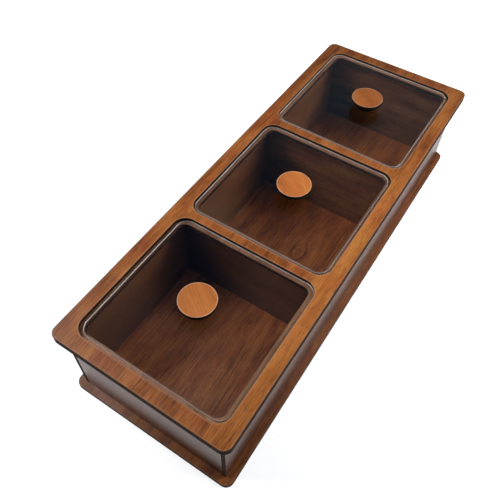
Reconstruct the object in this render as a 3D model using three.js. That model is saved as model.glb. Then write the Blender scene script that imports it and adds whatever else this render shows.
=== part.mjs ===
// A serving box with three compartments, glued up from laser-cut wood board, with a clear
// lid on each compartment. Millimetres, +Z up. The origin is at the middle of the underside.
// X runs along the length, and the front is the long side that faces -Y.

import * as THREE from 'three';

// The boards, all cut from one sheet thickness
const BOARD = 3;

// The whole box
const BOX_LENGTH = 360;
const BOX_WIDTH = 129;
const WALL_HEIGHT = 65;
const OUTER_RADIUS = 6;

// How far the walls stand in from the edge of the base and of the top
const WALL_SETBACK = 5.5;

// The windows of the top
const WINDOW_COUNT = 3;
const BORDER = 10;
const BAR = 7;
const WINDOW_RADIUS = 9.5;

// The ledge that each lid rests on
const LEDGE_REACH = 3.8;

// The panes of the lids
const PANE_THICKNESS = 2;
const PANE_CLEARANCE = 1.4;
const PANE_ARRIS = 0.25;

// A lid lies loose in its window, shifted from the middle, and its knob is glued on by eye,
// off the middle of the pane
const LIDS = [
  { compartment: 'left', shiftX: 0.7, shiftY: -1, knobX: -0.2, knobY: 2.3 },
  { compartment: 'middle', shiftX: 0.5, shiftY: 0.5, knobX: -0.5, knobY: 0.4 },
  { compartment: 'right', shiftX: 0.6, shiftY: 1, knobX: -0.1, knobY: -1.3 },
];

// The knobs
const KNOB_DIAMETER = 25;
const SPACER_DIAMETER = 14;
const SPACER_COUNT = 2;

// Facets of the round shapes: an arc has two for each corner step
const CORNER_STEPS = 6;
const DISC_STEPS = 72;

// Levels of the layers, from the table up
const WALL_FOOT = BOARD;
const LEDGE_LEVEL = WALL_FOOT + WALL_HEIGHT;
const TOP_LEVEL = LEDGE_LEVEL + BOARD;

// The windows share what the borders and the bars leave of the length
const WINDOW_LENGTH = (BOX_LENGTH - 2 * BORDER - (WINDOW_COUNT - 1) * BAR) / WINDOW_COUNT;
const WINDOW_WIDTH = BOX_WIDTH - 2 * BORDER;
const WINDOW_PITCH = WINDOW_LENGTH + BAR;

// The walls stand in from the edge by the setback, and the long ones cover the short ones' ends
const LONG_WALL_LENGTH = BOX_LENGTH - 2 * WALL_SETBACK;
const LONG_WALL_Y = BOX_WIDTH / 2 - WALL_SETBACK - BOARD / 2;
const SHORT_WALL_LENGTH = 2 * LONG_WALL_Y - BOARD;
const SHORT_WALL_X = BOX_LENGTH / 2 - WALL_SETBACK - BOARD / 2;

const finish = (color, roughness, opacity = 1) =>
  new THREE.MeshStandardMaterial({
    color, roughness, metalness: 0, opacity, transparent: opacity < 1,
  });

// The middle of one window along X, counted from the left
function windowX(index) {
  return (index - (WINDOW_COUNT - 1) / 2) * WINDOW_PITCH;
}

// A rectangle with quarter-round corners, drawn round a centre on X, as a Shape or as a Path
function roundedRectangle(outline, length, width, radius, centreX = 0) {
  const right = centreX + length / 2 - radius;
  const left = centreX - length / 2 + radius;
  const top = width / 2 - radius;
  outline.moveTo(right, -top - radius);
  outline.absarc(right, -top, radius, -Math.PI / 2, 0);
  outline.absarc(right, top, radius, 0, Math.PI / 2);
  outline.absarc(left, top, radius, Math.PI / 2, Math.PI);
  outline.absarc(left, -top, radius, Math.PI, Math.PI * 3 / 2);
  outline.closePath();
  return outline;
}

// A flat piece cut from a sheet: the outline made thick, lying on the level of its underside
function sheet(name, outline, thickness, level, material) {
  const geometry = new THREE.ExtrudeGeometry(outline, {
    depth: thickness, bevelEnabled: false, curveSegments: CORNER_STEPS,
  });
  const mesh = new THREE.Mesh(geometry, material);
  mesh.name = name;
  mesh.position.z = level;
  return mesh;
}

// An upright board on the base, running along X or along Y
function upright(name, lengthX, lengthY, x, y, material) {
  const mesh = new THREE.Mesh(new THREE.BoxGeometry(lengthX, lengthY, WALL_HEIGHT), material);
  mesh.name = name;
  mesh.position.set(x, y, WALL_FOOT + WALL_HEIGHT / 2);
  return mesh;
}

function baseBoard() {
  const outline = roundedRectangle(new THREE.Shape(), BOX_LENGTH, BOX_WIDTH, OUTER_RADIUS);
  return sheet('base_board', outline, BOARD, 0, finish(0x6b3d22, 0.55));
}

function walls() {
  const group = new THREE.Group();
  const face = finish(0x5a3420, 0.5);
  group.add(
    upright('front_wall', LONG_WALL_LENGTH, BOARD, 0, -LONG_WALL_Y, face),
    upright('back_wall', LONG_WALL_LENGTH, BOARD, 0, LONG_WALL_Y, face),
    upright('left_end_wall', BOARD, SHORT_WALL_LENGTH, -SHORT_WALL_X, 0, face),
    upright('right_end_wall', BOARD, SHORT_WALL_LENGTH, SHORT_WALL_X, 0, face),
  );
  return group;
}

// The partitions stand under the bars of the top, halfway between two windows
function dividers() {
  const group = new THREE.Group();
  const face = finish(0x5a3420, 0.5);
  ['divider_left', 'divider_right'].forEach((name, index) => {
    const x = (windowX(index) + windowX(index + 1)) / 2;
    group.add(upright(name, BOARD, SHORT_WALL_LENGTH, x, 0, face));
  });
  return group;
}

// A layer of the top: the outline of the base with a window over each compartment,
// smaller all round by the inset
function windowFrame(name, inset, level, material) {
  const outline = roundedRectangle(new THREE.Shape(), BOX_LENGTH, BOX_WIDTH, OUTER_RADIUS);
  for (let index = 0; index < WINDOW_COUNT; index += 1) {
    outline.holes.push(roundedRectangle(new THREE.Path(), WINDOW_LENGTH - 2 * inset,
      WINDOW_WIDTH - 2 * inset, WINDOW_RADIUS - inset, windowX(index)));
  }
  return sheet(name, outline, BOARD, level, material);
}

// A clear lid that follows its window, smaller by the clearance, with its sharp edges broken
function pane(name) {
  const inset = PANE_CLEARANCE + PANE_ARRIS;
  const outline = roundedRectangle(new THREE.Shape(), WINDOW_LENGTH - 2 * inset,
    WINDOW_WIDTH - 2 * inset, WINDOW_RADIUS - inset);
  const geometry = new THREE.ExtrudeGeometry(outline, {
    depth: PANE_THICKNESS - 2 * PANE_ARRIS,
    bevelThickness: PANE_ARRIS,
    bevelSize: PANE_ARRIS,
    bevelSegments: 1,
    curveSegments: CORNER_STEPS,
  });
  const mesh = new THREE.Mesh(geometry, finish(0xe8ecec, 0.05, 0.3));
  mesh.name = name;
  mesh.position.z = PANE_ARRIS;
  return mesh;
}

// A wooden disc with its axis upright, its underside at the origin
function disc(name, diameter, material) {
  const geometry = new THREE.CylinderGeometry(diameter / 2, diameter / 2, BOARD, DISC_STEPS);
  geometry.rotateX(Math.PI / 2);
  geometry.translate(0, 0, BOARD / 2);
  const mesh = new THREE.Mesh(geometry, material);
  mesh.name = name;
  return mesh;
}

// The knob: a stack of small discs, and on it the wide disc to grip
function knob(compartment) {
  const group = new THREE.Group();
  const edge = finish(0x4a2a18, 0.6);
  for (let layer = 0; layer < SPACER_COUNT; layer += 1) {
    const spacer = disc(`${compartment}_knob_spacer_${layer + 1}`, SPACER_DIAMETER, edge);
    spacer.position.z = layer * BOARD;
    group.add(spacer);
  }
  const cap = disc(`${compartment}_knob_cap`, KNOB_DIAMETER, finish(0xb4683a, 0.5));
  cap.position.z = SPACER_COUNT * BOARD;
  group.add(cap);
  return group;
}

// A lid rests on its ledge: the pane, and the knob glued on top
function lid({ compartment, shiftX, shiftY, knobX, knobY }, index) {
  const group = new THREE.Group();
  group.position.set(windowX(index) + shiftX, shiftY, TOP_LEVEL);
  const grip = knob(compartment);
  grip.position.set(knobX, knobY, PANE_THICKNESS);
  group.add(pane(`${compartment}_pane`), grip);
  return group;
}

const box = new THREE.Group();
box.add(baseBoard(), walls(), dividers());
box.add(windowFrame('ledge_frame', LEDGE_REACH, LEDGE_LEVEL, finish(0x4f2d1b, 0.55)));
box.add(windowFrame('top_frame', 0, TOP_LEVEL, finish(0x8a4f2c, 0.5)));
LIDS.forEach((entry, index) => box.add(lid(entry, index)));

export default box;
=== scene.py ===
import math

import bpy
import numpy as np
from mathutils import Matrix, Vector


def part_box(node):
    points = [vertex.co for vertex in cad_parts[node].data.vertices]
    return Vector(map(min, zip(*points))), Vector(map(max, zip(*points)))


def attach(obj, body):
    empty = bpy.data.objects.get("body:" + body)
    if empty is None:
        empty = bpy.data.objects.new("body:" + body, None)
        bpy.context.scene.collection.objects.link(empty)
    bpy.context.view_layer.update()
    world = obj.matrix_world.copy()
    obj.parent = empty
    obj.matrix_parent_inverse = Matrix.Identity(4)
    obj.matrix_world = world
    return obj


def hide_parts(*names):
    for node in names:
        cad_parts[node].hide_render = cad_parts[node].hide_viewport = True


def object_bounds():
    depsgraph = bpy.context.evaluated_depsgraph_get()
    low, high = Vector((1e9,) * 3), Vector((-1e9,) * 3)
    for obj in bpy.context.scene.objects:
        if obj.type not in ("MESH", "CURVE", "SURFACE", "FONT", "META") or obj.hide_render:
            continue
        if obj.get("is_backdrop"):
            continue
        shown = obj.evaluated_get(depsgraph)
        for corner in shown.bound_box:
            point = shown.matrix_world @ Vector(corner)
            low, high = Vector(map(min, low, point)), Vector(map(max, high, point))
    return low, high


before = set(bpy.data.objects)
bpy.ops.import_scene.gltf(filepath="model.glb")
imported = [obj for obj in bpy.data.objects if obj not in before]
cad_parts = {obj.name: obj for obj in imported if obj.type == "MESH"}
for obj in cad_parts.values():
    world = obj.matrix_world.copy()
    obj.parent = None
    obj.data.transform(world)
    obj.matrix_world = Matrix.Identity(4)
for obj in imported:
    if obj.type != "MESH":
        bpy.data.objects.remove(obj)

CAD_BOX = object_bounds()
MM = 0.001

# ---------------------------------------------------------------------------------------------
# The base board: the lowest layer, a board of 3 mm with rounded corners that stands out round
# the walls as a foot. It is cut by laser from walnut-faced board, so its cut edges are burnt
# nearly black, and its face has a pale rim beside the cut, which is a painted highlight of the
# edge, and a thin scorched line right at it.

OUTER_RADIUS = 6.0
EASE = 0.12

# The corners in the order in which an outline passes them, and the steps along the arc of each
# corner and along each straight between two
CORNERS = np.array([(1, -1), (1, 1), (-1, 1), (-1, -1)])
ARC_STEPS = 12
RUN_STEPS = 8
RING_POINTS = 4 * (ARC_STEPS + RUN_STEPS)

# Rows of points on a face, at these distances from the cut, for the tones of its rim
RIM_ROWS = (0.5, 0.9, 1.5)
INNER_ROW = 3.0

# A piece's materials in order: its faces', its cut edge's, and where there is a third, that of a
# face unlike the others. Points closer than the last decimal of a millimetre are one.
FACE, CUT, OTHER_FACE = 0, 1, 2
DECIMALS = 4
SHARP_ANGLE = math.radians(32)
FROM_CUT = "from_cut"

BLACK = (0.0, 0.0, 0.0, 1)
BURNT = (0.0065, 0.0032, 0.0016, 1)
CHAR_LINE = (0.027, 0.012, 0.0052, 1)
RUDDY_TONE = (0.88, 0.68, 0.84, 1)
LEAF_TONE = (1.0, 0.99, 0.80, 1)
PORE = (0.06, 0.020, 0.008)
WALNUT = ((0.0, (0.130, 0.034, 0.0075)), (0.42, (0.355, 0.108, 0.0225)),
          (0.60, (0.425, 0.138, 0.0290)), (1.0, (0.560, 0.215, 0.0560)))

# A rim's colour, its width in millimetres, its share over the face, and that of the scorched line.
# The pale rim is a painted highlight along each cut edge.
PAINTED_EDGE_HIGHLIGHT = ((0.50, 0.255, 0.140), 1.0, 0.55, 0.95)

# The parts of the veneer's figure. Each is noise: its lumps in one millimetre along the grain and
# across it, its step from the board's seed, its further step past a splice, and the noise's
# detail and roughness.
FIGURE = {
    "wander": (0.005, 0.02, 0.5, 0.0, 1.0, 0.5),
    "sway": (0.04, 0.08, 1.5, 0.0, 1.0, 0.5),
    "broad": (0.006, 0.07, 0.0, 5.3, 2.0, 0.5),
    "cloud": (0.035, 0.10, 5.0, 0.0, 2.0, 0.5),
    "streak": (0.020, 0.72, 7.0, 3.1, 3.0, 0.65),
    "fibre": (0.12, 2.0, 3.0, 0.0, 2.0, 0.6),
    "lines": (0.014, 1.3, 13.0, 2.7, 1.0, 0.5),
    "gathered": (0.008, 0.05, 17.0, 0.0, 1.0, 0.5),
    "ruddy": (0.025, 0.07, 19.0, 0.0, 2.0, 0.5),
    "pores": (0.16, 3.2, 11.0, 0.0, 1.0, 0.5),
    "broken": (0.12, 0.2, 23.0, 0.0, 1.0, 0.5),
    "patchy": (0.25, 0.25, 0.0, 0.0, 2.0, 0.5),
}

# How far the grain wanders and sways, in millimetres; the share that draws a knot out along the
# grain; what is added to the squared distance from a knot's middle, so that nothing there is
# divided by nought; and the depth of the grain in metres
WANDER_REACH = 14.0
SWAY_REACH = 2.0
KNOT_STRETCH = 0.6
KNOT_MIDDLE = 0.5
GRAIN_DEPTH = 0.0001

# How much the broad and the fine parts count in the figure, how much darker a line makes it and
# how much lighter another leaf, and how far a ruddy patch and a pore take the tone to their own
BROAD_SHARE, FINE_SHARE = 0.9, 1.2
LINE_DARKER, LEAF_LIGHTER = 0.42, 0.22
RUDDY_SHARE, PORE_SHARE = 0.55, 0.5


def with_runs(arcs):
    """The arcs of four corners as one ring: after each arc come even shares of the straight from
    its last point to the first point of the next arc."""
    share = (np.arange(1, RUN_STEPS) / RUN_STEPS)[None, :, None]
    runs = arcs[:, -1:] * (1 - share) + np.roll(arcs, -1, axis=0)[:, :1] * share
    return np.concatenate([arcs, runs], axis=1).reshape(-1, 2)


def rounded(half_x, half_y, radius):
    """A ring of points round a rectangle, always the same count: at each corner the arc's centre
    plus the radius times the cosine and sine of the angle."""
    quarter = np.radians(np.linspace(0, 90, ARC_STEPS + 1))
    turn = np.radians(np.arange(4) * 90 - 90)[:, None] + quarter
    centre = CORNERS * (np.array([half_x, half_y]) - radius)
    return with_runs(centre[:, None] + radius * np.stack([np.cos(turn), np.sin(turn)], axis=2))


def plate(half_x, half_y, radius, low, high, ease=EASE):
    """A flat board's rings, from the middle of its underside out, up the cut edge and back in to
    the middle of its top. Each ring is the outline drawn in by its inset, and the edge is eased
    by a 45 degree corner. Returns the points, the cut flags of the bands and the insets."""
    room = min(half_x, half_y)
    insets = [inset for inset in (ease, *RIM_ROWS, INNER_ROW) if inset < room]
    outward = [room] + insets[::-1]
    profile = [(inset, low) for inset in outward] + [(0, low + ease), (0, high - ease)]
    profile += [(inset, high) for inset in outward[::-1]]
    rings = []
    for inset, level in profile:
        if inset == room:
            flat = np.zeros((RING_POINTS, 2))
        else:
            flat = rounded(half_x - inset, half_y - inset, max(radius - inset, 0))
        rings.append(np.column_stack([flat, np.full(RING_POINTS, level)]))
    edge = len(outward)
    cut = np.zeros(len(profile) - 1, bool)
    cut[[edge - 1, edge, edge + 1]] = True
    depth = np.repeat(np.array([inset for inset, _ in profile])[:, None], RING_POINTS, axis=1)
    return np.array(rings), cut, depth


def skin(name, rings, cut, depth, kept=None):
    """A closed mesh over rings of points, in millimetres. Each band between two rings is a row of
    quads; points that fall together are one point, and quads that shrink to nothing are left out.
    The cut bands take the second material, and depth is kept as the distance from the cut edge."""
    rings = rings.reshape((-1,) + rings.shape[-3:])
    depth = depth.reshape((-1,) + depth.shape[-2:])
    parts, rows, count = rings.shape[:3]
    index = np.arange(parts * rows * count).reshape(parts, rows, count)
    ahead = np.roll(index, -1, axis=2)
    quads = np.stack([index[:, :-1], ahead[:, :-1], ahead[:, 1:], index[:, 1:]], axis=3)
    slots = np.broadcast_to(cut[None, :, None], quads.shape[:3]).astype(int)
    chosen = np.ones(quads.shape[:3], bool) if kept is None else kept
    quads, slots = quads[chosen], slots[chosen]
    points, first, same = np.unique(np.round(rings.reshape(-1, 3), DECIMALS), axis=0,
                                    return_index=True, return_inverse=True)
    quads = same.reshape(-1)[quads]
    folded = quads == np.roll(quads, -1, axis=1)
    folds = folded.sum(axis=1)
    faces, owners = [quads[folds == 0]], [slots[folds == 0]]
    for side in range(4):
        chosen = (folds == 1) & folded[:, side]
        faces.append(np.delete(quads[chosen], side, axis=1))
        owners.append(slots[chosen])
    mesh = bpy.data.meshes.new(name)
    faces = [face for group in faces for face in group.tolist()]
    mesh.from_pydata((points * MM).tolist(), [], faces)
    mesh.polygons.foreach_set("material_index", np.concatenate(owners))
    mesh.polygons.foreach_set("use_smooth", np.ones(len(mesh.polygons), bool))
    mesh.set_sharp_from_angle(angle=SHARP_ANGLE)
    distance = mesh.attributes.new(FROM_CUT, "FLOAT", "POINT")
    distance.data.foreach_set("value", depth.reshape(-1)[first].astype(np.float32))
    piece = bpy.data.objects.new(name, mesh)
    bpy.context.scene.collection.objects.link(piece)
    return piece


def fit(piece, node, body, slot, *materials):
    """The piece takes its materials, stands for its node of the same place and rides on a body."""
    for material in materials:
        piece.data.materials.append(material)
    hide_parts(node)
    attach(piece, body)


class Shade:
    """A socket of a material's nodes. Arithmetic on it adds Math nodes, or Vector Math nodes
    where it carries a vector."""

    def __init__(self, tree, socket):
        self.tree, self.socket = tree, socket

    def add(self, kind, settings, inputs, output=0):
        """Adds a node of a type: its settings first, then the values or links of its sockets."""
        node = self.tree.nodes.new(kind)
        for name, setting in settings.items():
            if name == "stops":
                ramp = node.color_ramp
                while len(ramp.elements) < len(setting):
                    ramp.elements.new(0.5)
                for element, (place, colour) in zip(ramp.elements, setting):
                    element.position, element.color = place, colour
            else:
                setattr(node, name, setting)
        for name, value in inputs.items():
            if isinstance(value, Shade):
                self.tree.links.new(value.socket, node.inputs[name])
            else:
                node.inputs[name].default_value = value
        return Shade(self.tree, node.outputs[output])

    def work(self, operation, *pair):
        """A Math node on two values, or a Vector Math node where one of them is a vector."""
        vector = any(isinstance(value, tuple)
                     or isinstance(value, Shade) and value.socket.type == "VECTOR"
                     for value in pair)
        if vector:
            pair = [(value,) * 3 if isinstance(value, (int, float)) else value for value in pair]
        kind = "ShaderNodeVectorMath" if vector else "ShaderNodeMath"
        return self.add(kind, {"operation": operation}, dict(enumerate(pair)))

    def __add__(self, other):
        return self.work("ADD", self, other)

    def __sub__(self, other):
        return self.work("SUBTRACT", self, other)

    def __rsub__(self, other):
        return self.work("SUBTRACT", other, self)

    def __mul__(self, other):
        return self.work("MULTIPLY", self, other)

    def __rtruediv__(self, other):
        return self.work("DIVIDE", other, self)

    __radd__, __rmul__ = __add__, __mul__

    def away(self):
        """The size of this value, whatever its sign."""
        return self.work("ABSOLUTE", self)

    def wave(self):
        """The sine of this value."""
        return self.work("SINE", self)

    def root(self):
        """The square root of this value."""
        return self.work("SQRT", self)

    def held(self, low, high):
        """The share of the way from low to high, held between 0 and 1."""
        return self.add("ShaderNodeMapRange", {"clamp": True},
                        {0: self, 1: low, 2: high, 3: 0.0, 4: 1.0})

    def noise(self, detail=2.0, roughness=0.5):
        """Noise at this place, about 0.5 on average, one lump for each unit."""
        return self.add("ShaderNodeTexNoise", {"noise_dimensions": "3D"},
                        {"Vector": self, "Scale": 1.0, "Detail": detail, "Roughness": roughness})

    def between(self, under, over, how="MIX"):
        """A colour: under where this value is 0, over where it is 1. The node's sockets for
        colours go by number, because its sockets for values have the same names."""
        return self.add("ShaderNodeMix", {"data_type": "RGBA", "blend_type": how},
                        {0: self, 6: under, 7: over}, output=2)

    def place(self, x, y, z):
        """A vector from three values."""
        return self.add("ShaderNodeCombineXYZ", {}, {0: x, 1: y, 2: z})

    def part(self, axis):
        """The value of a vector along X, Y or Z."""
        return self.add("ShaderNodeSeparateXYZ", {}, {0: self}, output=axis)


def new_material(name):
    """An empty material with its output: its place, which is the Object coordinates in
    millimetres, and a call that links the finished shader and returns the material."""
    material = bpy.data.materials.new(name)
    material.use_nodes = True
    tree = material.node_tree
    tree.nodes.clear()
    output = tree.nodes.new("ShaderNodeOutputMaterial")
    coordinates = Shade(tree, None).add("ShaderNodeTexCoord", {}, {}, output="Object")

    def finish(shader):
        tree.links.new(shader.socket, output.inputs["Surface"])
        return material
    return coordinates * (1 / MM, 1 / MM, 1 / MM), finish


def dyed(colour, dye):
    """An opaque colour, each of its red, green and blue times the dye's."""
    return (*(value * part for value, part in zip(colour, dye)), 1)


def drawn_out(a, b, seed, leaf, name):
    """A part of the figure: noise at the place along the grain and the place across it, each
    times the part's lumps in a millimetre, and at the seed plus the part's steps."""
    along, across, step, leaf_step, detail, roughness = FIGURE[name]
    level = leaf * leaf_step + (seed + step) if leaf_step else seed + step
    return a.place(a * along, b * across, level).noise(detail, roughness)


def veneer(name, along, across, seed, light=1.0, tint=(1.0, 1.0, 1.0), tones=WALNUT,
           contrast=1.0, turn=0.0, knot=None, splice=None, fade=None, rim=PAINTED_EDGE_HIGHLIGHT, inner=None,
           gloss=0.34):
    """Walnut-coloured veneer under a satin lacquer. The figure is the sum of broad bands, clouds,
    streaks and short fibres, each a noise drawn out along the grain, which itself wanders a little.
    On it lie thin dark lines, gathered here and there, ruddy patches and short dark pores. The
    contrast scales the figure, and the grain can be turned from its axis by an angle in degrees.
    Round a knot, given as its place and its radius, the grain runs like a stream round a post: the
    distance across is taken times one less the squared share of the knot's radius in the distance
    from its middle. Past a splice the figure is another leaf's, and lighter. A painted shade
    falloff is a place along the grain, a reach and a share: as painted shade, the tone falls off by
    the share times the square of the distance from the place over the reach. The face keeps a rim
    beside each cut, either a pale one, which is a painted highlight of the edge, or a scorched one,
    and a thin scorched line right at the cut, which is kept off an inner rectangle where its half
    sides are given, because the windows' edges have none."""
    dye = [light * part for part in tint]
    place, finish = new_material(name)
    a, b = place.part(along), place.part(across)
    if inner:
        outside = place.work("MAXIMUM", a.away() - inner[0], b.away() - inner[1]).held(-0.5, 0.5)
    if turn:
        slant = math.radians(turn)
        a, b = (a * math.cos(slant) + b * math.sin(slant),
                b * math.cos(slant) - a * math.sin(slant))
    if knot:
        knot_a, knot_b, knot_radius = knot
        run, rise = (a - knot_a) * KNOT_STRETCH, b - knot_b
        squared = run * run + rise * rise
        ring = squared.root()
        b = knot_b + rise * (1.0 - knot_radius ** 2 / (squared + KNOT_MIDDLE)).held(0.0, 1.0)
    leaf = 0.0
    if splice is not None:
        leaf = place.work("LESS_THAN", b, splice)
    b = b + (drawn_out(a, b, seed, leaf, "wander") - 0.5) * WANDER_REACH
    b = b + (drawn_out(a, b, seed, leaf, "sway") - 0.5) * SWAY_REACH
    broad, cloud, streak, fibre, lines, gathered, ruddy, pores, patchy = (
        drawn_out(a, b, seed, leaf, part) for part in
        ("broad", "cloud", "streak", "fibre", "lines", "gathered", "ruddy", "pores", "patchy"))

    # The figure about its middle tone. Lines and pores show only where their noise is high, and
    # lines mostly where they gather; the knot is a broken ring of bark round turned rings.
    figure = ((broad - 0.5) * BROAD_SHARE + (cloud - 0.5) * BROAD_SHARE
              + (streak - 0.5) * FINE_SHARE + (fibre - 0.5) * FINE_SHARE)
    figure = figure * contrast + 0.5
    lines = lines.held(0.58, 0.70) * (gathered.held(0.42, 0.62) * 0.85 + 0.15)
    pores = pores.held(0.58, 0.69)
    if knot:
        inside = 1.0 - ring.held(knot_radius * 0.7, knot_radius * 1.2)
        broken = drawn_out(a, b, seed, leaf, "broken").held(0.35, 0.6)
        bark = (1.0 - (ring - knot_radius).away().held(0.2, 1.5)) * broken
        figure = figure - bark + inside * ((ring * 1.4 + cloud * 5.0).wave() * 0.2)
    if splice is not None:
        figure = figure + leaf * LEAF_LIGHTER
    figure = figure - lines * (LINE_DARKER * contrast)

    # The colours: the figure's tones, ruddier in patches, the leaf's, the painted shade falloff's
    # and the pores'
    stops = [(share, dyed(colour, dye)) for share, colour in tones]
    tone = place.add("ShaderNodeValToRGB", {"stops": stops}, {0: figure})
    tone = (ruddy.held(0.48, 0.66) * RUDDY_SHARE).between(tone, RUDDY_TONE, "MULTIPLY")
    if splice is not None:
        tone = leaf.between(tone, LEAF_TONE, "MULTIPLY")
    # Painted shade: the tone darkens with the square of the distance from the falloff's place
    if fade:
        fade_middle, fade_reach, fade_share = fade
        away = (a - fade_middle) * (1 / fade_reach)
        tone = (away * away * fade_share).between(tone, BLACK)
    tone = (pores * (PORE_SHARE * contrast)).between(tone, dyed(PORE, dye))

    # The rim, a painted highlight of the edge where it is pale, ends about its width from the cut
    # and the scorched line about half a millimetre, both a little unevenly
    rim_colour, rim_width, rim_share, line_share = rim
    cut = place.add("ShaderNodeAttribute", {"attribute_name": FROM_CUT}, {}, output="Fac")
    beside = (1.0 - (cut + patchy * 0.5).held(0.55 * rim_width, 1.45 * rim_width)) * rim_share
    tone = beside.between(tone, dyed(rim_colour, dye))
    if line_share:
        singed = (1.0 - (cut + patchy * 0.2).held(0.28, 0.62)) * line_share
        tone = (singed * outside if inner else singed).between(tone, BURNT)
    bump = place.add("ShaderNodeBump", {}, {
        "Strength": 0.2, "Distance": GRAIN_DEPTH, "Height": fibre * 0.4 - pores - lines * 0.3})
    return finish(place.add("ShaderNodeBsdfPrincipled", {}, {
        "Base Color": tone, "Roughness": fibre * 0.08 + pores * 0.1 + 0.25,
        "Specular IOR Level": gloss, "Normal": bump}))


def burnt_edge(name, light=1.0):
    """A laser-cut edge: char, nearly black, with the fine upright lines that the beam leaves. The
    tone lies between the char's two colours, both times the light, by a share of two noises, the
    lines and the soot, whose lumps in a millimetre are given along X, Y and Z."""
    place, finish = new_material(name)
    deep, pale = (dyed(colour, (light, light, light)) for colour in (BURNT, CHAR_LINE))
    lines = (place * (2.6, 2.6, 0.12)).noise(3.0, 0.6)
    soot = (place * (0.15, 0.15, 0.4)).noise()
    tone = (lines * 0.6 + soot * 0.4).held(0.35, 0.68).between(deep, pale)
    bump = place.add("ShaderNodeBump", {}, {
        "Strength": 0.35, "Distance": GRAIN_DEPTH, "Height": lines})
    return finish(place.add("ShaderNodeBsdfPrincipled", {}, {
        "Base Color": tone, "Roughness": soot * 0.15 + 0.78, "Specular IOR Level": 0.06,
        "Normal": bump}))


def extent(node):
    """A node's lowest and highest corners in millimetres."""
    low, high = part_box(node)
    return np.array(low) / MM, np.array(high) / MM


char = burnt_edge("burnt_edge")
low, high = extent("base_board")
base = skin("base", *plate(high[0], high[1], OUTER_RADIUS, low[2], high[2]))
# Painted shade: the base's falloff darkens its veneer towards the left end
fit(base, "base_board", "box", "dark_wood",
    veneer("base_veneer", "X", "Y", 2.3, light=0.316, tint=(1.05, 0.985, 0.90), contrast=1.15,
           knot=(3.5, -8.5, 5.4), fade=(200.0, 400.0, 0.12)),
    char)

# ---------------------------------------------------------------------------------------------
# The long walls: two boards stood on edge on the base, glued, with their grain along the box.
# Their burnt ends show at the corners as dark upright strips, because they cover the short walls.
# The front board has the darker, greyer veneer of the outer faces, and the back board has it on the
# face that looks out of the box.

INSIDE_TONE = (0.67, 0.84, 1.36)
OUTSIDE_TONE = (0.58, 0.50, 0.46)
OUTSIDE_LIGHT = 0.262
OUTSIDE_GLOSS = 0.11


def upright(name, node, thin, materials):
    """A board on edge: a plate of its length and height, turned up so that its thickness runs
    along Y (x, y, z becomes x, -z, y) or along X (x, y, z becomes z, x, y). A third material is
    the veneer of the face that looks out of the box, which is the plate's underside on a back
    board and its top on a right end board."""
    low, high = extent(node)
    middle, half = (low + high) / 2, (high - low) / 2
    length, thick = (half[0], half[1]) if thin == "Y" else (half[1], half[0])
    rings, cut, depth = plate(length, half[2], 0, -thick, thick)
    x, y, z = rings[..., 0], rings[..., 1], rings[..., 2]
    rings = np.stack([x, -z, y] if thin == "Y" else [z, x, y], axis=-1)
    cut = cut.astype(int)
    if len(materials) > OTHER_FACE:
        under = (thin == "Y") == (middle["XY".index(thin)] > 0)
        outside = cut[:len(cut) // 2] if under else cut[len(cut) // 2 + 1:]
        outside[outside == FACE] = OTHER_FACE
    fit(skin(name, rings + middle, cut, depth), node, "box", "dark_wood", *materials)


# Painted shade: the front board's falloff darkens it towards both ends, and the back board's inner
# face's darkens it towards the left end
upright("front_board", "front_wall", "Y", (
    veneer("front_veneer", "X", "Z", 21.0, light=OUTSIDE_LIGHT, tint=OUTSIDE_TONE,
           gloss=OUTSIDE_GLOSS, fade=(10.0, 180.0, 0.35)),
    char))
upright("back_board", "back_wall", "Y", (
    veneer("back_veneer", "X", "Z", 34.0, light=0.325, tint=INSIDE_TONE, fade=(130.0, 300.0, 0.5)),
    char,
    veneer("back_outer_veneer", "X", "Z", 38.0, light=OUTSIDE_LIGHT, tint=OUTSIDE_TONE,
           gloss=OUTSIDE_GLOSS)))

# ---------------------------------------------------------------------------------------------
# The short walls: two boards glued between the long ones, with their grain along the width. The
# right one, too, takes the darker, greyer veneer on the face that looks out of the box.

# Painted shade: the left end's falloff darkens it towards the front corner
upright("left_end_board", "left_end_wall", "X", (
    veneer("left_end_veneer", "Y", "Z", 45.0, light=0.238, tint=(0.76, 0.54, 0.44), gloss=0.19,
           fade=(60.0, 120.0, 0.58)),
    char))
upright("right_end_board", "right_end_wall", "X", (
    veneer("right_end_veneer", "Y", "Z", 52.0, light=0.275, tint=INSIDE_TONE),
    char,
    veneer("right_end_outer_veneer", "Y", "Z", 56.0, light=OUTSIDE_LIGHT, tint=OUTSIDE_TONE,
           gloss=0.15)))

# ---------------------------------------------------------------------------------------------
# The two partitions, of the same board as the short walls, each glued on the base under a bar of
# the top.

# The left partition is given less light than the right one, and its falloff darkens it towards the
# back wall: painted shade for the darker first compartment
upright("left_partition", "divider_left", "X", (
    veneer("left_partition_veneer", "Y", "Z", 63.0, light=0.20, tint=INSIDE_TONE,
           fade=(-35.0, 95.0, 0.5)),
    char))
upright("right_partition", "divider_right", "X", (
    veneer("right_partition_veneer", "Y", "Z", 71.0, light=0.32, tint=INSIDE_TONE),
    char))

# ---------------------------------------------------------------------------------------------
# The ledge layer: the lower of the two boards of the top, glued on the walls. Its windows are
# smaller than those above it, and what stands in under them is the ledge that carries the lids,
# paler and greyer wood than the other boards', with a scorched rim.

BORDER = 10.0
BAR = 7.0
WINDOW_COUNT = 3
WINDOW_RADIUS = 9.5
LEDGE_REACH = 3.8
TINY = 1e-9
PALE_LEDGE_TONES = ((0.0, (0.180, 0.080, 0.040)), (0.42, (0.330, 0.160, 0.085)),
             (0.60, (0.380, 0.190, 0.105)), (1.0, (0.480, 0.260, 0.150)))
SCORCHED_RIM = ((0.030, 0.014, 0.007), 1.0, 0.38, 0.0)


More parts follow.
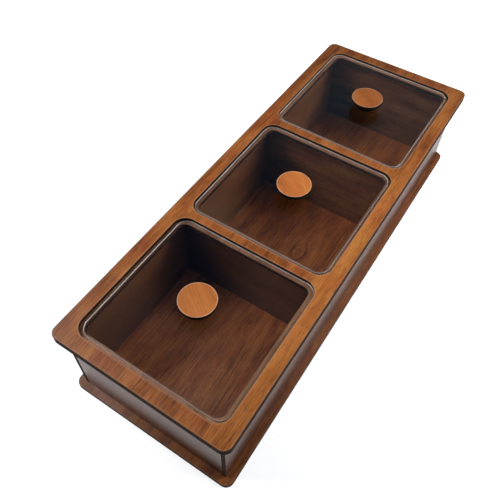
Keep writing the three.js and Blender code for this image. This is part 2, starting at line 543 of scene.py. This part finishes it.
def border(left, right, half_y, inset, joined, window_x, window_y, radius):
    """The ring on a cell's border that matches the window's ring point for point. An outer corner
    is an arc. At a corner on the line between two cells each point lies where the ray from the
    window's corner centre meets the border, and the nearest of them is put on the corner. Returns
    the ring and the flags of its points on the line between two cells."""
    step = np.linspace(0, 90, ARC_STEPS + 1)
    arcs, flags = [], []
    for side, rise in CORNERS:
        reach = right if side > 0 else left
        quarter = np.radians(step if side == rise else 90 - step)
        ray = np.stack([np.cos(quarter), np.sin(quarter)], axis=1)
        if joined[int(side > 0)]:
            centre = np.array([window_x - radius, window_y - radius])
            room = np.array([reach, half_y - inset]) - centre
            full = np.array([reach, half_y]) - centre
            length = (room / np.maximum(ray, TINY)).min(axis=1)
            point = centre + length[:, None] * ray
            corner = np.argmin(np.abs(quarter - np.arctan2(full[1], full[0])))
            point[corner] = centre + room
            flag = quarter < quarter[corner] - TINY
        else:
            centre = np.array([reach, half_y]) - OUTER_RADIUS
            point = centre + (OUTER_RADIUS - inset) * ray
            flag = np.zeros(len(step), bool)
        arcs.append(point * (side, rise))
        flags.append(flag)
    sides = np.array([joined[1], False, joined[0], False])
    run_flags = np.repeat(sides[:, None], RUN_STEPS - 1, axis=1)
    return with_runs(np.array(arcs)), np.concatenate([flags, run_flags], axis=1).reshape(-1)


def windowed(node, reach):
    """A board with a row of windows, drawn in by a reach. Each window has a cell that reaches to
    the outline and halfway to the next window. A cell's rings go up the outline, in over the top,
    down the window's edge and out again underneath; the bands on the outline are left out where
    two cells meet, and there their points fall together. Returns the points, the cut flags of the
    bands, the distances from the cut and the flags of the quads that are kept."""
    low, high = extent(node)
    under, over = low[2], high[2]
    length = (2 * high[0] - 2 * BORDER - (WINDOW_COUNT - 1) * BAR) / WINDOW_COUNT
    half_x, half_y = length / 2 - reach, high[1] - BORDER - reach
    radius = WINDOW_RADIUS - reach
    profile = [("outer", 0, under + EASE), ("outer", 0, over - EASE), ("outer", EASE, over)]
    profile += [("outer", inset, over) for inset in RIM_ROWS]
    profile += [("window", inset, over) for inset in RIM_ROWS[::-1]]
    window_top = len(profile)
    profile += [("window", EASE, over), ("window", 0, over - EASE), ("window", 0, under + EASE)]
    profile += [("window", EASE, under)]
    profile += [("window", inset, under) for inset in RIM_ROWS]
    profile += [("outer", inset, under) for inset in RIM_ROWS[::-1]]
    profile += [("outer", EASE, under), ("outer", 0, under + EASE)]
    bands = len(profile) - 1
    outline_bands = [0, 1, bands - 1]
    cut = np.zeros(bands, bool)
    cut[outline_bands + [window_top, window_top + 1, window_top + 2]] = True
    cells, distances, cells_kept = [], [], []
    for number in range(WINDOW_COUNT):
        middle = (number - (WINDOW_COUNT - 1) / 2) * (length + BAR)
        joined = [number > 0, number < WINDOW_COUNT - 1]
        left, right = (length / 2 + (BAR / 2 if met else BORDER) for met in joined)
        outer = {inset: border(left, right, high[1], inset, joined, half_x, half_y, radius)
                 for inset in (0, EASE, *RIM_ROWS)}
        shared = outer[0][1]
        rings, depth = [], []
        for kind, inset, level in profile:
            if kind == "outer":
                flat, away = outer[inset][0], np.where(shared, BAR / 2 + reach, inset)
            else:
                flat = rounded(half_x + inset, half_y + inset, radius + inset)
                away = np.full(RING_POINTS, inset)
            x, y = flat[:, 0] + middle, flat[:, 1]
            rings.append(np.column_stack([x, y, np.full(RING_POINTS, level)]))
            depth.append(away)
        kept = np.ones((bands, RING_POINTS), bool)
        kept[outline_bands] = ~(shared | np.roll(shared, -1))
        cells.append(rings)
        distances.append(depth)
        cells_kept.append(kept)
    return np.array(cells), cut, np.array(distances), np.array(cells_kept)


ledge = skin("ledge", *windowed("ledge_frame", LEDGE_REACH))
fit(ledge, "ledge_frame", "box", "dark_wood",
    veneer("ledge_veneer", "X", "Y", 80.0, light=0.50, tones=PALE_LEDGE_TONES, rim=SCORCHED_RIM),
    char)

# ---------------------------------------------------------------------------------------------
# The top layer: the board that shows from above, glued on the ledge layer, with three windows. Its
# veneer is spliced from two leaves, and only its outline has the thin scorched line, which stays
# outside a rectangle that runs halfway across the border.

HALF_BORDER_IN = (175.0, 59.5)

# Painted shade: the top's falloff darkens it towards both ends
top = skin("top", *windowed("top_frame", 0.0))
fit(top, "top_frame", "box", "dark_wood",
    veneer("top_veneer", "X", "Y", 93.0, light=0.414, tint=(1.03, 1.0, 1.0), contrast=1.3,
           splice=-48.0, fade=(-30.0, 205.0, 0.35), inner=HALF_BORDER_IN),
    char)

# ---------------------------------------------------------------------------------------------
# The panes of the lids: clear acrylic of 2 mm, cut by laser, so the faces are glossy and the cut
# edges are pale and a little frosted. Each pane lies loose on the ledge of its window.

PANE_CLEARANCE = 1.4
PANE_RADIUS = WINDOW_RADIUS - PANE_CLEARANCE
PANE_EASE = 0.2
ACRYLIC_TINT = (0.93, 0.94, 0.94, 1)
ACRYLIC_IOR = 1.49


def clear_acrylic():
    """Clear acrylic that lets the lamps through: glass to the eye, see-through for shadows. The
    roughness is a trace more where a slow noise lays a smear."""
    place, finish = new_material("clear_acrylic")
    smear = (place * (0.012, 0.012, 0.012)).noise(3.0).held(0.4, 0.8)
    glass = place.add("ShaderNodeBsdfPrincipled", {}, {
        "Base Color": ACRYLIC_TINT, "Roughness": smear * 0.03 + 0.008,
        "Transmission Weight": 1.0, "IOR": ACRYLIC_IOR})
    through = place.add("ShaderNodeBsdfTransparent", {}, {"Color": ACRYLIC_TINT})
    shadow = place.add("ShaderNodeLightPath", {}, {}, output="Is Shadow Ray")
    return finish(place.add("ShaderNodeMixShader", {}, {0: shadow, 1: glass, 2: through}))


def frosted_edge():
    """The pane's cut edge: pale and dull, with the faint upright lines of the cut, a noise drawn
    out along Z."""
    place, finish = new_material("acrylic_edge")
    lines = (place * (3.0, 3.0, 0.1)).noise()
    tone = lines.between((0.42, 0.40, 0.39, 1), (0.66, 0.64, 0.63, 1))
    return finish(place.add("ShaderNodeBsdfPrincipled", {}, {
        "Base Color": tone, "Roughness": 0.22, "Transmission Weight": 0.6, "IOR": ACRYLIC_IOR}))


acrylic, pale_edge = clear_acrylic(), frosted_edge()
for side in ("left", "middle", "right"):
    low, high = extent(f"{side}_pane")
    middle, half = (low + high) / 2, (high - low) / 2
    rings, cut, depth = plate(half[0], half[1], PANE_RADIUS, low[2], high[2], ease=PANE_EASE)
    glazing = skin(f"{side}_glazing", rings + (middle[0], middle[1], 0), cut, depth)
    fit(glazing, f"{side}_pane", f"lid_{side}", "clear_acrylic", acrylic, pale_edge)

# ---------------------------------------------------------------------------------------------
# The knobs: discs cut by laser from the same board, two small ones that hold the wide one up
# from the pane, glued in a stack. Their edges are burnt blacker than the boards', their undersides
# are painted nearly black as painted shade under the caps, the caps carry a pale rim that is a
# painted highlight, and the caps' grain lies askew, as they were glued.

DISC_STEPS = 96
SPACER_EASE = 0.15
# The caps' pale rim is a painted highlight round the top edge of each cap
CAP_PAINTED_HIGHLIGHT = ((0.76, 0.48, 0.32), 0.6, 0.85, 0.0)
CAP_TINT = (0.99, 1.0, 1.06)
CAP_TURN = 57.0

# Each knob's side, the seed of its veneer and the light of its cap
KNOBS = (("left", 120.0, 0.575), ("middle", 125.0, 0.683), ("right", 130.0, 0.437))


def turned(node, name, body, ease, materials):
    """A disc: rings about its axis, each the cosine and sine of the angle times a radius, from the
    middle of its underside out, up the cut edge and back in. The third material is the
    underside's."""
    low, high = extent(node)
    middle, radius = (low + high) / 2, (high[0] - low[0]) / 2
    angle = np.linspace(0, 2 * np.pi, DISC_STEPS, endpoint=False)
    insets = [radius, INNER_ROW, *RIM_ROWS[::-1], ease]
    profile = [(inset, low[2]) for inset in insets] + [(0, low[2] + ease), (0, high[2] - ease)]
    profile += [(inset, high[2]) for inset in insets[::-1]]
    reach = np.array([radius - inset for inset, _ in profile])[:, None]
    level = np.array([level for _, level in profile])[:, None]
    rings = np.stack([middle[0] + reach * np.cos(angle), middle[1] + reach * np.sin(angle),
                      level + 0 * angle], axis=2)
    face = len(insets) - 1
    cut = np.array([OTHER_FACE] * face + [CUT] * 3 + [FACE] * face)
    depth = np.array([inset for inset, _ in profile])[:, None] + 0 * angle
    fit(skin(name, rings, cut, depth), node, body, "knob_wood", *materials)


knob_char = burnt_edge("knob_burnt_edge", 0.3)
# The undersides are painted nearly black: painted shade under the caps
painted_shade_underside = veneer("painted_shade_underside_veneer", "Y", "X", 140.0, light=0.09)
for side, seed, light in KNOBS:
    for layer in (1, 2):
        name = f"{side}_spacer_{layer}"
        wood = veneer(f"{name}_veneer", "Y", "X", seed + layer, light=0.5)
        turned(f"{side}_knob_spacer_{layer}", name, f"lid_{side}", SPACER_EASE,
               (wood, knob_char, painted_shade_underside))
    wood = veneer(f"{side}_cap_veneer", "X", "Y", seed, light=light, tint=CAP_TINT,
                  contrast=0.55, turn=CAP_TURN, rim=CAP_PAINTED_HIGHLIGHT)
    turned(f"{side}_knob_cap", f"{side}_cap", f"lid_{side}", EASE, (wood, knob_char, painted_shade_underside))

# ---------------------------------------------------------------------------------------------
# The studio: a plain pale floor, a room that is pale at the horizon and dim blue overhead, soft
# lamps and the camera at the photograph's angle. Sizes and places are in metres and degrees.

FLOOR_SIZE = 6.0
FLOOR_DROP = 0.0002
FLOOR_GLOW = 0.33
bpy.ops.mesh.primitive_plane_add(size=FLOOR_SIZE, location=(0, 0, -FLOOR_DROP))
floor = bpy.context.object
floor.name = "studio_floor"
place, finish = new_material("studio_paper")
floor.data.materials.append(finish(place.add("ShaderNodeBsdfPrincipled", {}, {
    "Base Color": (0.66, 0.66, 0.66, 1), "Roughness": 0.9,
    "Emission Color": (1, 1, 1, 1), "Emission Strength": FLOOR_GLOW})))
floor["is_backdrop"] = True

# The room's colour at each rise, which is the sine of the angle above the horizon
ROOM = [(0.0, (0.80, 0.80, 0.80, 1)), (0.10, (0.74, 0.74, 0.74, 1)), (0.19, (0.13, 0.13, 0.13, 1)),
        (0.45, (0.06, 0.08, 0.11, 1)), (0.62, (0.03, 0.09, 0.14, 1)),
        (0.75, (0.012, 0.030, 0.065, 1))]
world = bpy.data.worlds.new("studio_room")
bpy.context.scene.world = world
world.use_nodes = True
tree = world.node_tree
tree.nodes.clear()
direction = Shade(tree, None).add("ShaderNodeTexCoord", {}, {}, output="Generated")
glow = direction.add("ShaderNodeValToRGB", {"stops": ROOM}, {0: direction.part("Z")})
background = direction.add("ShaderNodeBackground", {}, {"Color": glow, "Strength": 1.0})
tree.links.new(background.socket, tree.nodes.new("ShaderNodeOutputWorld").inputs["Surface"])

# Each lamp's name, its azimuth from +X towards +Y, its elevation, its distance from the box, its
# width and height, and its power in watts
LAMPS = (("window_lamp_low", 88, 28, 1.5, 0.60, 0.60, 12.3),
         ("window_lamp_high", 115, 50, 1.5, 0.60, 0.60, 24.3),
         ("fill_lamp", 300, 35, 0.6, 0.42, 0.34, 3.7),
         ("fill_lamp_side", 325, 35, 0.7, 0.42, 0.34, 1.0),
         ("room_lamp_low", 315, 42, 1.5, 0.30, 0.30, 6.2),
         ("room_lamp_high", 318, 58, 1.5, 0.30, 0.30, 5.8))


def lamp(name, azimuth, elevation, distance, width, height, power):
    """A soft lamp that looks at the box. Its place is the distance times the cosine of the
    elevation times the cosine and sine of the azimuth, and the sine of the elevation."""
    around, up = math.radians(azimuth), math.radians(elevation)
    spot = Vector((math.cos(up) * math.cos(around), math.cos(up) * math.sin(around),
                   math.sin(up))) * distance
    data = bpy.data.lights.new(name, "AREA")
    data.shape, data.size, data.size_y, data.energy = "RECTANGLE", width, height, power
    light = bpy.data.objects.new(name, data)
    light.location = spot
    light.rotation_euler = (-spot).to_track_quat("-Z", "Y").to_euler()
    bpy.context.scene.collection.objects.link(light)


for row in LAMPS:
    lamp(*row)

# The camera looks at the target from a distance, turned round the box by the azimuth, up by the
# elevation and about its own axis by the roll
AZIMUTH, ELEVATION, ROLL = -58.431, 53.531, 1.776
TARGET = Vector((-14.59, 26.91, 0.0)) * MM
DISTANCE = 463.20 * MM
SENSOR_WIDTH, LENS, NEAREST = 36.0, 40.273, 0.01
around, up, roll = (math.radians(angle) for angle in (AZIMUTH, ELEVATION, ROLL))
forward = Vector((-math.sin(around) * math.cos(up), math.cos(around) * math.cos(up), -math.sin(up)))
right = Vector((math.cos(around), math.sin(around), 0))
above = right.cross(forward)
turned_right = right * math.cos(roll) + above * math.sin(roll)
turned_above = above * math.cos(roll) - right * math.sin(roll)
data = bpy.data.cameras.new("camera")
data.sensor_width, data.lens, data.clip_start = SENSOR_WIDTH, LENS, NEAREST
camera = bpy.data.objects.new("camera", data)
camera.matrix_world = Matrix((
    (turned_right.x, turned_above.x, -forward.x, 0),
    (turned_right.y, turned_above.y, -forward.y, 0),
    (turned_right.z, turned_above.z, -forward.z, 0),
    (0, 0, 0, 1)))
camera.location = TARGET - forward * DISTANCE
bpy.context.scene.collection.objects.link(camera)
bpy.context.scene.camera = camera
bpy.context.scene.view_settings.view_transform = "Standard"

[[list(corner) for corner in box] for box in (CAD_BOX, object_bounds())]
